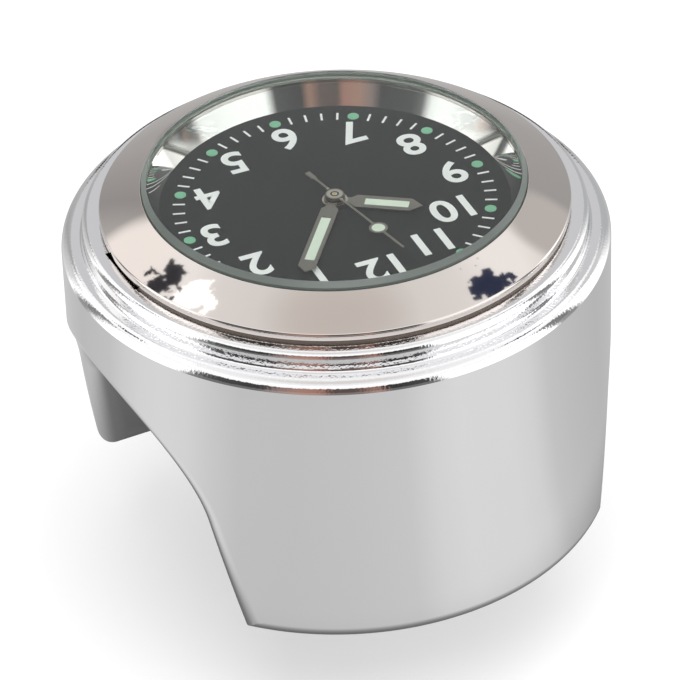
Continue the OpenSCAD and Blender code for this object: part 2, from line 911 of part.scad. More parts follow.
module third_wheel() {
    color("gold")
        clock_frame()
            translate([third_pos[0], third_pos[1], 0]) {
                gear(third_teeth, third_module, third_wheel_z, wheel_t, 0.01,
                     gap_to(third_angle + 180, third_teeth));
                gear(third_pinion, centre_module, third_wheel_z, centre_wheel_z - third_wheel_z + 0.2,
                     0.01, third_angle + 180);
                tube(pivot_r, 0, bridge_z + 0.05, plate_low + 0.3);
            }
}

module centre_wheel() {
    color("gold")
        clock_frame() {
            gear(centre_teeth, centre_module, centre_wheel_z, wheel_t, centre_tube_in,
                 gap_to(third_angle, centre_teeth));
            tube(centre_tube_r, centre_tube_in, centre_wheel_z, minute_hand_z + hand_t);
            gear(cannon_teeth, cannon_module, motion_z + 0.05, 0.25, centre_tube_in, 0);
        }
}

module minute_wheel() {
    color("gold")
        clock_frame()
            translate([minute_pos[0], minute_pos[1], 0]) {
                gear(minute_teeth, cannon_module, motion_z + 0.1, wheel_t, 0.01,
                     gap_to(180, minute_teeth));
                gear(minute_pinion, hour_module, motion_z + 0.1, 0.55, 0.01, 180);
                tube(pivot_r, 0, motion_z - 0.3, motion_z + 0.1);
            }
}

module hour_wheel() {
    color("gold")
        clock_frame() {
            gear(hour_teeth, hour_module, motion_z + 0.45, wheel_t, hour_tube_in,
                 gap_to(0, hour_teeth));
            tube(hour_tube_r, hour_tube_in, motion_z + 0.45, hour_hand_z + hand_t);
        }
}

module setting_wheel() {
    color("gold")
        clock_frame()
            translate([setting_pos[0], setting_pos[1], 0]) {
                gear(setting_teeth, cannon_module, motion_z + 0.1, wheel_t, 0.01,
                     180);
                tube(pivot_r, 0, motion_z - 0.3, motion_z + 0.1);
            }
}

module setting_lever() {
    color("silver")
        clock_frame() {
            translate([groove_x - 0.6, -2.4, stem_z - 0.75])
                cube([1.2, 2.9, 0.2]);
            difference() {
                translate([groove_x - 0.08, -0.45, stem_z - 0.6])
                    cube([0.16, 0.9, 0.6]);
                translate([groove_x - 1, 0, stem_z])
                    rotate([0, 90, 0])
                        cylinder(r = 0.28, h = 2, $fn = fine);
            }
        }
}

module stem() {
    color("silver")
        clock_frame()
            translate([stem_in, 0, stem_z])
                rotate([0, 90, 0])
                    difference() {
                        cylinder(r = stem_r, h = crown_in + 0.6 - stem_in, $fn = fine);
                        rotate_extrude($fn = fine)
                            translate([0.24, groove_x - stem_in - 0.15])
                                square([1, 0.3]);
                    }
}

module sliding_pinion() {
    color("gold")
        clock_frame()
            translate([stem_in + 0.6, 0, stem_z])
                rotate([0, 90, 0])
                    gear(14, 0.11, 0, 0.9, stem_r + 0.03);
}

module crown() {
    ribs = 24;
    color("silver")
        clock_frame()
            translate([crown_in, 0, stem_z])
                rotate([0, 90, 0])
                    difference() {
                        cylinder(d = crown_d, h = crown_len, $fn = fine * 2);
                        translate([0, 0, -cut])
                            cylinder(r = stem_r, h = 0.6 + cut, $fn = fine);
                        for (i = [0 : ribs - 1])
                            rotate(360 * i / ribs)
                                translate([crown_d / 2, 0, 0.2])
                                    cylinder(r = 0.07, h = crown_len, $fn = 16);
                    }
}

module battery() {
    color("lightgray")
        clock_frame()
            translate([battery_pos[0], battery_pos[1], 0]) {
                tube(battery_d / 2, 0, battery_z, battery_z + battery_h * 0.85);
                tube(battery_d / 2 - 0.5, 0, battery_z, battery_z + battery_h);
            }
}

module battery_strap() {
    color("lightgoldenrodyellow")
        clock_frame()
            translate([0, 0, bridge_z - 0.12])
                linear_extrude(0.12)
                    link(battery_pos + [-1.5, -2], pillar_b + [-1.6, -1.3], 1.6);
}

// Straight hand with a pointed tip, lying along the direction of its hour
module baton(len, w, neck, tip, z, hub_r, bore, slot) {
    translate([0, 0, z])
        linear_extrude(hand_t)
            difference() {
                union() {
                    circle(r = hub_r);
                    polygon([
                        [0, -neck / 2], [neck_len, -neck / 2], [neck_len + 0.5, -w / 2],
                        [len - tip, -w / 2], [len, 0], [len - tip, w / 2],
                        [neck_len + 0.5, w / 2], [neck_len, neck / 2], [0, neck / 2]
                    ]);
                }
                circle(r = bore, $fn = fine);
                translate([slot[0], -slot[2] / 2])
                    square([slot[1], slot[2]]);
            }
}

neck_len = 1.35;
hour_w = 1.8;
hour_neck = 0.85;
hour_tip = 1.05;
hour_hub_r = 1.1;
hour_slot = [2.6, 3.8, 0.9];
minute_w = 1.5;
minute_neck = 0.75;
minute_tip = 0.75;
minute_hub_r = 0.9;
minute_slot = [3.2, 6.3, 0.85];
hour_at = 90 - 30 * shown_hour;
minute_at = 90 - 6 * shown_minute;
second_at = 90 - 6 * shown_second;

module hand_lume(slot, z, angle) {
    clock_frame()
        rotate(angle)
            translate([slot[0] + lume_gap, -slot[2] / 2 + lume_gap, z])
                cube([slot[1] - 2 * lume_gap, slot[2] - 2 * lume_gap, hand_t]);
}

module hour_hand() {
    color("darkgray")
        clock_frame()
            rotate(hour_at)
                baton(hour_len, hour_w, hour_neck, hour_tip, hour_hand_z, hour_hub_r,
                      hour_tube_r, hour_slot);
}

module hour_lume() {
    color("palegreen")
        hand_lume(hour_slot, hour_hand_z, hour_at);
}

module minute_hand() {
    color("darkgray")
        clock_frame()
            rotate(minute_at)
                baton(minute_len, minute_w, minute_neck, minute_tip, minute_hand_z,
                      minute_hub_r, centre_tube_r, minute_slot);
}

module minute_lume() {
    color("palegreen")
        hand_lume(minute_slot, minute_hand_z, minute_at);
}

second_disc = 6.4;
second_tail = 4.1;
second_hub_r = 0.8;
second_ring_r = 0.8;
second_lume_r = 0.58;
second_w = 0.24;
tail_w = 0.5;
tail_len = 1.1;

module second_hand() {
    color("darkgray")
        clock_frame()
            tube(0.4, second_arbor_r, second_hand_z - second_tube_len, second_hand_z + 0.01);
    color("darkgray")
        clock_frame()
            rotate(second_at)
                translate([0, 0, second_hand_z])
                    linear_extrude(hand_t)
                        difference() {
                            union() {
                                circle(r = second_hub_r, $fn = fine);
                                translate([-second_tail, -second_w / 2])
                                    square([second_tail + second_len, second_w]);
                                translate([-second_tail, -tail_w / 2])
                                    square([tail_len, tail_w]);
                                translate([second_disc, 0])
                                    circle(r = second_ring_r, $fn = fine);
                            }
                            circle(r = second_arbor_r, $fn = fine);
                            translate([second_disc, 0])
                                circle(r = second_lume_r, $fn = fine);
                        }
}

module second_lume() {
    color("palegreen")
        clock_frame()
            rotate(second_at)
                translate([second_disc, 0, second_hand_z])
                    cylinder(r = second_lume_r - lume_gap, h = hand_t, $fn = fine);
}

housing();
bar_pad();
clamp_strap();
strap_pad();
clamp_screw_12();
clamp_screw_6();
spring_washers();
bezel();
case_ring();
crystal();
crystal_gasket();
rehaut_ring();
dial();
lume_dots();
seat_gasket();
case_oring();
case_back();
back_gasket();
movement_holder();
main_plate();
train_bridge();
bridge_screws();
circuit_block();
quartz_can();
coil();
stator();
rotor();
fifth_wheel();
seconds_wheel();
third_wheel();
centre_wheel();
minute_wheel();
hour_wheel();
setting_wheel();
setting_lever();
stem();
sliding_pinion();
crown();
battery();
battery_strap();
hour_hand();
hour_lume();
minute_hand();
minute_lume();
second_hand();
second_lume();
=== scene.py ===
import math

import bmesh
import bpy
import numpy as np
from mathutils import Matrix, Vector
from mathutils.kdtree import KDTree


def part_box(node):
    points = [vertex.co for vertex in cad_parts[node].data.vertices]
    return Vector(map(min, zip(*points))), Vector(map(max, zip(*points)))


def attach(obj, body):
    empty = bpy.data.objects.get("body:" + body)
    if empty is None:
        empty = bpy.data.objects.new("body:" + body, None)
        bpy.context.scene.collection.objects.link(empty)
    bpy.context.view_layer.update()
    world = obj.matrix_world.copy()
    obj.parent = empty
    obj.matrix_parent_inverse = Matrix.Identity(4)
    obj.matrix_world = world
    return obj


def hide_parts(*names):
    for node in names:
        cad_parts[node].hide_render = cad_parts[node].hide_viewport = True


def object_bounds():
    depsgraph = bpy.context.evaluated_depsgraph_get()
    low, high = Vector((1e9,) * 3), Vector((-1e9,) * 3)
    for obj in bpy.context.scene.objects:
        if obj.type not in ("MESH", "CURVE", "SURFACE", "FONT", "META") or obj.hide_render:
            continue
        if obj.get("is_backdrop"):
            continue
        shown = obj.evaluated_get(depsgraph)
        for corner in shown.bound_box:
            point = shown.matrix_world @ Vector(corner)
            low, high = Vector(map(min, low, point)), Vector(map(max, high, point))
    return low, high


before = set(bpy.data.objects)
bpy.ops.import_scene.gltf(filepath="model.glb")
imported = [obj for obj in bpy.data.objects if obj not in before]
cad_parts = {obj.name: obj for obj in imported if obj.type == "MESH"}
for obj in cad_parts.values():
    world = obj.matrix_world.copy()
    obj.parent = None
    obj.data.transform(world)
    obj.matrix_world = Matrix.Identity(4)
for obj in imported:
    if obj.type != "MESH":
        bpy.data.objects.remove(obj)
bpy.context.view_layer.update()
MM = 0.001

# Camera: a long lens about 0.4 metres away, looking down on the 12 o'clock side of
# the dial from 34 degrees, with the slight roll and tilt that the photograph has.
crystal_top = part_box("crystal")[1].z
view_distance = 405.7 * MM
view_height = math.radians(33.791)
view_side = math.radians(64.682)
view_tilt = -0.034985
view_roll = 0.036679
focal_px = 4785.4
frame_px = 680
sensor_mm = 36

toward = Vector((math.cos(view_height) * math.cos(view_side),
                 math.cos(view_height) * math.sin(view_side), math.sin(view_height)))
look = -toward
right = look.cross(Vector((0, 0, 1))).normalized()
up = right.cross(look)
tilt = Matrix.Rotation(view_tilt, 3, right)
look, up = tilt @ look, tilt @ up
roll = Matrix.Rotation(view_roll, 3, look)
right, up = roll @ right, roll @ up
bpy.ops.object.camera_add()
camera = bpy.context.object
camera.name = "view_camera"
camera.data.sensor_width = sensor_mm
camera.data.lens = focal_px / frame_px * sensor_mm
camera.data.clip_start = 0.01
camera_place = Vector((0, 0, crystal_top)) + toward * view_distance
camera.matrix_world = (Matrix.Translation(camera_place) @
                       Matrix((right, up, -look)).transposed().to_4x4())
bpy.context.scene.camera = camera
bpy.context.scene.view_settings.view_transform = "Standard"


# Room: a pale floor in a white cloth tent with lit panels round it. Polished metal sees the
# panels along the horizon, the dark opening for the camera, and the floor below.
def connect(tree, out, into):
    tree.links.new(out, into)


def around(tree, vector, stops):
    "Colours that change round the object, from (angle in degrees, colour) stops"
    split = tree.nodes.new("ShaderNodeSeparateXYZ")
    angle = tree.nodes.new("ShaderNodeMath")
    angle.operation = "ARCTAN2"
    share = tree.nodes.new("ShaderNodeMapRange")
    share.inputs["From Min"].default_value = -math.pi
    share.inputs["From Max"].default_value = math.pi
    ring = tree.nodes.new("ShaderNodeValToRGB")
    connect(tree, vector, split.inputs[0])
    connect(tree, split.outputs["Y"], angle.inputs[0])
    connect(tree, split.outputs["X"], angle.inputs[1])
    connect(tree, angle.outputs[0], share.inputs["Value"])
    connect(tree, share.outputs["Result"], ring.inputs["Fac"])
    fill_ramp(ring, [((degrees + 180) / 360, colour) for degrees, colour in stops])
    return ring.outputs["Color"]


def fill_ramp(node, stops):
    "Gives a colour ramp its (place, colour or grey) stops"
    elements = node.color_ramp.elements
    while len(elements) < len(stops):
        elements.new(0.5)
    for k in reversed(range(len(stops))):
        elements[k].position = stops[k][0]
    for element, (place, colour) in zip(elements, stops):
        element.position = place
        shade = colour if isinstance(colour, tuple) else (colour, colour, colour)
        element.color = (*shade, 1)


# (compass angle, colour) of what stands round the tent: lit panels with dark gaps between
# them, and a brown gap on the side away from the camera
skyline = [
    (-180, 2.0), (-172, 1.5), (-161, 0.8), (-154, (0.49, 0.5, 0.51)), (-130, 0.52),
    (-97, 0.52), (-84, 0.42), (-76, 0.6), (-64, 0.8), (-57, 1.4), (-50, 0.25), (-44, 0.3),
    (-36, 1.4), (-29, 2.0), (-2, 1.75), (3, 1.4), (8, 0.2), (14, 0.08), (34, 0.05),
    (40, (0.28, 0.21, 0.2)), (48, (0.43, 0.25, 0.19)), (57, (0.4, 0.2, 0.16)),
    (61, (0.11, 0.08, 0.07)), (71, (0.13, 0.09, 0.08)), (78, (0.38, 0.22, 0.17)),
    (83, 0.04), (99, 0.08), (105, 1.5), (149, 1.8), (154, 0.3), (163, 0.2), (171, 1.9)]


def floor_material():
    made = bpy.data.materials.new("pale_floor")
    made.use_nodes = True
    tree = made.node_tree
    tree.nodes.clear()
    diffuse = tree.nodes.new("ShaderNodeBsdfDiffuse")
    grain = tree.nodes.new("ShaderNodeTexNoise")
    place = tree.nodes.new("ShaderNodeTexCoord")
    grain.inputs["Scale"].default_value = 8
    shade = tree.nodes.new("ShaderNodeMapRange")
    shade.inputs["To Min"].default_value = 0.57
    shade.inputs["To Max"].default_value = 0.61
    glow = tree.nodes.new("ShaderNodeEmission")
    glow.inputs["Strength"].default_value = 0.42
    none = tree.nodes.new("ShaderNodeEmission")
    none.inputs["Strength"].default_value = 0
    mirrored = tree.nodes.new("ShaderNodeEmission")
    path = tree.nodes.new("ShaderNodeLightPath")
    pick = tree.nodes.new("ShaderNodeMixShader")
    both = tree.nodes.new("ShaderNodeAddShader")
    in_metal = tree.nodes.new("ShaderNodeMath")
    in_metal.operation = "MULTIPLY"
    in_metal.inputs[1].default_value = 0.85
    seen = tree.nodes.new("ShaderNodeMixShader")
    result = tree.nodes.new("ShaderNodeOutputMaterial")
    # Painted light: in polished metal the floor glows brighter or dimmer by compass angle
    # round the object, as painted pools of light on it.
    painted_floor_glow = around(tree, place.outputs["Object"], [
        (-180, 0.48), (-165, 0.49), (-120, 0.53), (-72, 0.57), (-52, 0.52), (-31, 0.59),
        (-22, 0.69), (-12, 0.76), (-2, 0.78), (8, 0.75), (17.5, 0.66), (28, 0.58), (47, 0.57),
        (67, 0.59), (86, 0.63), (96, 0.74), (106, 0.79), (126, 0.78), (136, 0.73),
        (145, 0.6), (156, 0.55), (165, 0.52), (180, 0.48)])
    connect(tree, place.outputs["Object"], grain.inputs["Vector"])
    connect(tree, grain.outputs["Fac"], shade.inputs["Value"])
    connect(tree, shade.outputs["Result"], diffuse.inputs["Color"])
    far = tree.nodes.new("ShaderNodeVectorMath")
    far.operation = "LENGTH"
    away = tree.nodes.new("ShaderNodeMapRange")
    away.interpolation_type = "SMOOTHSTEP"
    away.inputs["From Min"].default_value = 70 * MM
    away.inputs["From Max"].default_value = 110 * MM
    spread = tree.nodes.new("ShaderNodeMixRGB")
    connect(tree, place.outputs["Object"], far.inputs[0])
    connect(tree, far.outputs["Value"], away.inputs["Value"])
    connect(tree, away.outputs["Result"], spread.inputs["Fac"])
    # Painted shadow: the floor's glow seen in metal is darkened from 42 mm in to 22 mm from
    # the centre, in place of the object's own shadow under it.
    painted_contact_shadow = tree.nodes.new("ShaderNodeMapRange")
    painted_contact_shadow.interpolation_type = "SMOOTHSTEP"
    painted_contact_shadow.inputs["From Min"].default_value = 22 * MM
    painted_contact_shadow.inputs["From Max"].default_value = 42 * MM
    painted_contact_shadow.inputs["To Min"].default_value = 0.16
    glow_with_painted_shadow = tree.nodes.new("ShaderNodeVectorMath")
    glow_with_painted_shadow.operation = "SCALE"
    connect(tree, far.outputs["Value"], painted_contact_shadow.inputs["Value"])
    connect(tree, painted_floor_glow, glow_with_painted_shadow.inputs[0])
    connect(tree, painted_contact_shadow.outputs["Result"], glow_with_painted_shadow.inputs["Scale"])
    connect(tree, glow_with_painted_shadow.outputs[0], spread.inputs["Color1"])
    connect(tree, around(tree, place.outputs["Object"], skyline), spread.inputs["Color2"])
    connect(tree, spread.outputs["Color"], mirrored.inputs["Color"])
    connect(tree, path.outputs["Is Camera Ray"], pick.inputs[0])
    connect(tree, none.outputs[0], pick.inputs[1])
    connect(tree, glow.outputs[0], pick.inputs[2])
    connect(tree, diffuse.outputs[0], both.inputs[0])
    connect(tree, pick.outputs[0], both.inputs[1])
    connect(tree, path.outputs["Is Glossy Ray"], in_metal.inputs[0])
    connect(tree, in_metal.outputs[0], seen.inputs[0])
    connect(tree, both.outputs[0], seen.inputs[1])
    connect(tree, mirrored.outputs[0], seen.inputs[2])
    connect(tree, seen.outputs[0], result.inputs["Surface"])
    return made


floor_z = -19.5 * MM
bpy.ops.object.select_all(action="DESELECT")
bpy.ops.mesh.primitive_plane_add(size=3, location=(0, 0, floor_z))
floor = bpy.context.object
floor.name = "floor"
floor.data.materials.append(floor_material())
floor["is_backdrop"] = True

world = bpy.data.worlds.new("tent")
world.use_nodes = True
bpy.context.scene.world = world
tree = world.node_tree
tree.nodes.clear()
direction = tree.nodes.new("ShaderNodeTexCoord")
ripple = tree.nodes.new("ShaderNodeTexNoise")
ripple.inputs["Scale"].default_value = 17
ripple.inputs["Detail"].default_value = 4
ripple_mid = tree.nodes.new("ShaderNodeVectorMath")
ripple_mid.operation = "SUBTRACT"
ripple_mid.inputs[1].default_value = (0.5, 0.5, 0.5)
bent = tree.nodes.new("ShaderNodeVectorMath")
bent.operation = "MULTIPLY_ADD"
bent.inputs[1].default_value = (0.03, 0.03, 0.03)
connect(tree, direction.outputs["Generated"], ripple.inputs["Vector"])
connect(tree, ripple.outputs["Color"], ripple_mid.inputs[0])
connect(tree, ripple_mid.outputs[0], bent.inputs[0])
connect(tree, direction.outputs["Generated"], bent.inputs[2])

split = tree.nodes.new("ShaderNodeSeparateXYZ")
connect(tree, direction.outputs["Generated"], split.inputs[0])
dome = tree.nodes.new("ShaderNodeValToRGB")
connect(tree, split.outputs["Z"], dome.inputs["Fac"])
# (sine of the height above the horizon, brightness of the tent there)
fill_ramp(dome, [(0.0, 0.6), (0.15, 0.58), (0.27, 0.46), (0.36, 0.44), (0.42, 0.6),
                 (0.5, 0.9), (0.56, 0.97), (0.7, 1.25), (0.8, 1.25), (0.88, 1.05),
                 (0.95, 0.98), (0.985, (0.82, 0.79, 0.765)), (1.0, (0.78, 0.75, 0.72))])
horizon = around(tree, direction.outputs["Generated"], skyline)
low_edge = tree.nodes.new("ShaderNodeMapRange")
low_edge.interpolation_type = "SMOOTHSTEP"
low_edge.inputs["From Min"].default_value = 0.57
low_edge.inputs["From Max"].default_value = 0.54
connect(tree, split.outputs["Z"], low_edge.inputs["Value"])
tent = tree.nodes.new("ShaderNodeMixRGB")
connect(tree, low_edge.outputs["Result"], tent.inputs["Fac"])
connect(tree, dome.outputs["Color"], tent.inputs["Color1"])
connect(tree, horizon, tent.inputs["Color2"])
lit = tent.outputs["Color"]
# (compass angle, height, inner and outer radius in degrees, ragged edge, colour)
for degrees, height, inner, outer, ragged, colour in (
        (-66, 35, 8, 14, False, (1.3, 1.27, 1.24)),
        (-158, 31, 7, 12, False, (0.7, 0.69, 0.68)),
        (-115, 34, 12, 20, False, (0.66, 0.66, 0.67)),
        (-115, 11, 14, 18, False, (0.03, 0.02, 0.018)),
        (-48, 56.5, 5.6, 5.9, True, (1.9, 1.9, 1.9)),
        (-58, 47, 5.0, 5.2, True, (0.05, 0.05, 0.06)),
        (-179, 54.5, 4.6, 4.9, True, (0.04, 0.05, 0.1))):
    aim = tree.nodes.new("ShaderNodeVectorMath")
    aim.operation = "DOT_PRODUCT"
    turn, rise = math.radians(degrees), math.radians(height)
    aim.inputs[1].default_value = (math.cos(turn) * math.cos(rise),
                                   math.sin(turn) * math.cos(rise), math.sin(rise))
    inside = tree.nodes.new("ShaderNodeMapRange")
    inside.interpolation_type = "SMOOTHSTEP"
    inside.inputs["From Min"].default_value = math.cos(math.radians(outer))
    inside.inputs["From Max"].default_value = math.cos(math.radians(inner))
    over = tree.nodes.new("ShaderNodeMixRGB")
    over.inputs["Color2"].default_value = (*colour, 1)
    source = bent.outputs[0] if ragged else direction.outputs["Generated"]
    connect(tree, source, aim.inputs[0])
    connect(tree, aim.outputs["Value"], inside.inputs["Value"])
    connect(tree, inside.outputs["Result"], over.inputs["Fac"])
    connect(tree, lit, over.inputs["Color1"])
    lit = over.outputs["Color"]
path = tree.nodes.new("ShaderNodeLightPath")
pick = tree.nodes.new("ShaderNodeMixRGB")
pick.inputs["Color1"].default_value = (0.85, 0.85, 0.85, 1)
sky = tree.nodes.new("ShaderNodeBackground")
result = tree.nodes.new("ShaderNodeOutputWorld")
either = tree.nodes.new("ShaderNodeMath")
either.operation = "MAXIMUM"
direct = tree.nodes.new("ShaderNodeMath")
direct.operation = "LESS_THAN"
direct.inputs[1].default_value = 0.5
mirrored = tree.nodes.new("ShaderNodeMath")
mirrored.operation = "MULTIPLY"
connect(tree, path.outputs["Is Glossy Ray"], either.inputs[0])
connect(tree, path.outputs["Is Transmission Ray"], either.inputs[1])
connect(tree, path.outputs["Diffuse Depth"], direct.inputs[0])
connect(tree, either.outputs[0], mirrored.inputs[0])
connect(tree, direct.outputs[0], mirrored.inputs[1])
connect(tree, mirrored.outputs[0], pick.inputs["Fac"])
connect(tree, lit, pick.inputs["Color2"])
connect(tree, pick.outputs["Color"], sky.inputs["Color"])
connect(tree, sky.outputs[0], result.inputs["Surface"])

for name, place, size, power in (
        ("tent_lamp", (0.1, 0.35, 0.9), 0.7, 5.5),
        ("side_lamp", (-0.6, 0.5, 0.5), 0.4, 0.8)):
    bpy.ops.object.light_add(type="AREA", location=place)
    lamp = bpy.context.object
    lamp.name = name
    lamp.data.size = size
    lamp.data.energy = power
    lamp.visible_glossy = False
    lamp.rotation_euler = (-Vector(place)).to_track_quat("-Z", "Y").to_euler()


# Housing: one zinc die casting, polished and chromed, with an orange-peel skin on its
# shoulder. Turned outline, a round arch for the bar, and a rolled edge round its mouth.
def marks_group():
    "Small wear that every hard piece has: smudges in the gloss and short fine scratches"
    group = bpy.data.node_groups.new("handling_marks", "ShaderNodeTree")
    for label, kind in (("Vector", "NodeSocketVector"), ("Color", "NodeSocketColor"),
                        ("Roughness", "NodeSocketFloat"), ("Smudge", "NodeSocketFloat"),
                        ("Shade", "NodeSocketFloat"), ("Scale", "NodeSocketFloat")):
        group.interface.new_socket(name=label, in_out="INPUT", socket_type=kind)
    for label, kind in (("Color", "NodeSocketColor"), ("Roughness", "NodeSocketFloat"),
                        ("Height", "NodeSocketFloat")):
        group.interface.new_socket(name=label, in_out="OUTPUT", socket_type=kind)
    start = group.nodes.new("NodeGroupInput")
    end = group.nodes.new("NodeGroupOutput")
    smudge = group.nodes.new("ShaderNodeTexNoise")
    smudge.inputs["Detail"].default_value = 4
    fine = group.nodes.new("ShaderNodeTexNoise")
    fine.inputs["Detail"].default_value = 2
    faster = group.nodes.new("ShaderNodeMath")
    faster.operation = "MULTIPLY"
    faster.inputs[1].default_value = 9
    level = group.nodes.new("ShaderNodeMath")
    level.operation = "MULTIPLY_ADD"
    dim = group.nodes.new("ShaderNodeMath")
    dim.operation = "MULTIPLY_ADD"
    dim.inputs[2].default_value = 1
    tint = group.nodes.new("ShaderNodeVectorMath")
    tint.operation = "SCALE"
    less = group.nodes.new("ShaderNodeMath")
    less.operation = "SUBTRACT"
    less.inputs[1].default_value = 0.5
    connect(group, start.outputs["Vector"], smudge.inputs["Vector"])
    connect(group, start.outputs["Vector"], fine.inputs["Vector"])
    connect(group, start.outputs["Scale"], smudge.inputs["Scale"])
    connect(group, start.outputs["Scale"], faster.inputs[0])
    connect(group, faster.outputs[0], fine.inputs["Scale"])
    connect(group, smudge.outputs["Fac"], less.inputs[0])
    connect(group, less.outputs[0], level.inputs[0])
    connect(group, start.outputs["Smudge"], level.inputs[1])
    connect(group, start.outputs["Roughness"], level.inputs[2])
    connect(group, less.outputs[0], dim.inputs[0])
    connect(group, start.outputs["Shade"], dim.inputs[1])
    connect(group, start.outputs["Color"], tint.inputs[0])
    connect(group, dim.outputs[0], tint.inputs["Scale"])
    connect(group, tint.outputs[0], end.inputs["Color"])
    connect(group, level.outputs[0], end.inputs["Roughness"])
    connect(group, fine.outputs["Fac"], end.inputs["Height"])
    return group


handling_marks = marks_group()


def hard_finish(name, colour, roughness, metallic=1.0, smudge=0.03, shade=0.06, scale=120,
                bump=0.02, bump_mm=0.002):
    "A hard material whose gloss and shade vary with handling"
    made = bpy.data.materials.new(name)
    made.use_nodes = True
    tree = made.node_tree
    shader = tree.nodes["Principled BSDF"]
    place = tree.nodes.new("ShaderNodeTexCoord")
    marks = tree.nodes.new("ShaderNodeGroup")
    marks.node_tree = handling_marks
    relief = tree.nodes.new("ShaderNodeBump")
    marks.inputs["Color"].default_value = (*colour, 1)
    marks.inputs["Roughness"].default_value = roughness
    marks.inputs["Smudge"].default_value = smudge
    marks.inputs["Shade"].default_value = shade
    marks.inputs["Scale"].default_value = scale
    relief.inputs["Strength"].default_value = bump
    relief.inputs["Distance"].default_value = bump_mm * MM
    shader.inputs["Metallic"].default_value = metallic
    connect(tree, place.outputs["Object"], marks.inputs["Vector"])
    connect(tree, marks.outputs["Color"], shader.inputs["Base Color"])
    connect(tree, marks.outputs["Roughness"], shader.inputs["Roughness"])
    connect(tree, marks.outputs["Height"], relief.inputs["Height"])
    connect(tree, relief.outputs["Normal"], shader.inputs["Normal"])
    return made


def round_run(centre, radius, start, end, steps=8):
    "Points of an arc in the outline plane, from one angle to another in degrees"
    return [(centre[0] + radius * math.cos(math.radians(start + (end - start) * k / steps)),
             centre[1] + radius * math.sin(math.radians(start + (end - start) * k / steps)))
            for k in range(steps + 1)]


def lathe(name, outline, turns=192, smooth=30):
    "Turned piece: a ring is drawn out from one (radius, height) in millimetres to the next"
    bpy.ops.object.select_all(action="DESELECT")
    first_r, first_z = outline[0]
    bpy.ops.mesh.primitive_circle_add(vertices=turns, radius=first_r * MM,
                                      location=(0, 0, first_z * MM))
    made = bpy.context.object
    made.name = name
    closed = outline[0] == outline[-1]
    bpy.ops.object.mode_set(mode="EDIT")
    bpy.ops.mesh.select_all(action="SELECT")
    if not closed:
        bpy.ops.mesh.edge_face_add()
        bpy.ops.mesh.select_mode(type="EDGE")
        bpy.ops.mesh.select_all(action="SELECT")
    for (r, z), (next_r, next_z) in zip(outline, outline[1:]):
        bpy.ops.mesh.extrude_edges_move(
            TRANSFORM_OT_translate={"value": (0, 0, (next_z - z) * MM)})
        bpy.ops.transform.resize(value=(next_r / r, next_r / r, 1))
    if not closed:
        bpy.ops.mesh.edge_face_add()
    bpy.ops.mesh.select_all(action="SELECT")
    bpy.ops.mesh.remove_doubles(threshold=1e-7)
    bpy.ops.mesh.normals_make_consistent(inside=False)
    bpy.ops.object.mode_set(mode="OBJECT")
    bpy.ops.object.transform_apply(location=True, rotation=True, scale=True)
    bpy.ops.object.shade_smooth_by_angle(angle=math.radians(smooth))
    return made


def solid_from(name, points, faces):
    "Closed cutter from its points in millimetres and its faces, all facing outwards"
    mesh = bpy.data.meshes.new(name)
    mesh.from_pydata([tuple(c * MM for c in p) for p in points], [], faces)
    shape = bmesh.new()
    shape.from_mesh(mesh)
    bmesh.ops.recalc_face_normals(shape, faces=shape.faces)
    shape.to_mesh(mesh)
    shape.free()
    made = bpy.data.objects.new(name, mesh)
    bpy.context.collection.objects.link(made)
    return made


def block(name, low, high):
    "Cutter with square sides between two corners in millimetres"
    bpy.ops.object.select_all(action="DESELECT")
    bpy.ops.mesh.primitive_cube_add(size=1)
    made = bpy.context.object
    made.name = name
    made.scale = [(h - l) * MM for l, h in zip(low, high)]
    made.location = [(h + l) / 2 * MM for l, h in zip(low, high)]
    bpy.ops.object.transform_apply(location=True, rotation=True, scale=True)
    return made


def drill(name, radius, start, depth, sides=48):
    "Round cutter that begins at a point in millimetres and runs upwards"
    bpy.ops.object.select_all(action="DESELECT")
    x, y, z = start
    bpy.ops.mesh.primitive_cylinder_add(
        vertices=sides, radius=radius * MM, depth=depth * MM,
        location=(x * MM, y * MM, (z + depth / 2) * MM))
    made = bpy.context.object
    made.name = name
    bpy.ops.object.transform_apply(location=True, rotation=True, scale=True)
    return made


def cut(piece, *cutters):
    "Takes each cutter away from the piece and deletes it"
    for cutter in cutters:
        step = piece.modifiers.new("cut", "BOOLEAN")
        step.operation = "DIFFERENCE"
        step.solver = "EXACT"
        step.object = cutter
        bpy.context.view_layer.objects.active = piece
        bpy.ops.object.modifier_apply(modifier=step.name)
        bpy.data.objects.remove(cutter)


low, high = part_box("housing")
body_r = high.x / MM
leg_z = low.z / MM
rim_z = high.z / MM
collar_r = body_r - 1.9
tread_z = rim_z - 1.75
pocket_z = 15.0
pocket_r = 19.2
shoulder = 1.1
leg_round = 1.4
collar_round = 0.55
collar_foot = 0.35
saddle_r = 11.3
seat_r = 12.0
mouth_round = 2.2
leg_flare = math.radians(12)
inner_round = 1.5
core_r = 6

outline = [(core_r, leg_z)]
outline += round_run((body_r - leg_round, leg_z + leg_round), leg_round, -90, 0, 12)
outline += [(body_r, z) for z in (0, 6, 12)]
outline += round_run((body_r - shoulder, tread_z - shoulder), shoulder, 0, 90, 12)
outline += round_run((collar_r + collar_foot, tread_z + collar_foot), collar_foot, 270, 180, 8)
outline += round_run((collar_r - collar_round, rim_z - collar_round), collar_round, 0, 90, 10)
outline += [(pocket_r + 0.3, rim_z), (pocket_r, rim_z - 0.3), (pocket_r, pocket_z),
            (core_r, pocket_z)]
housing = lathe("chromed_housing", outline, turns=256)


def leg_face(z):
    "Half width of the arch at a height on the straight, leaning part of a leg"
    return saddle_r * math.cos(leg_flare) + \
        (saddle_r * math.sin(leg_flare) - z) * math.tan(leg_flare)


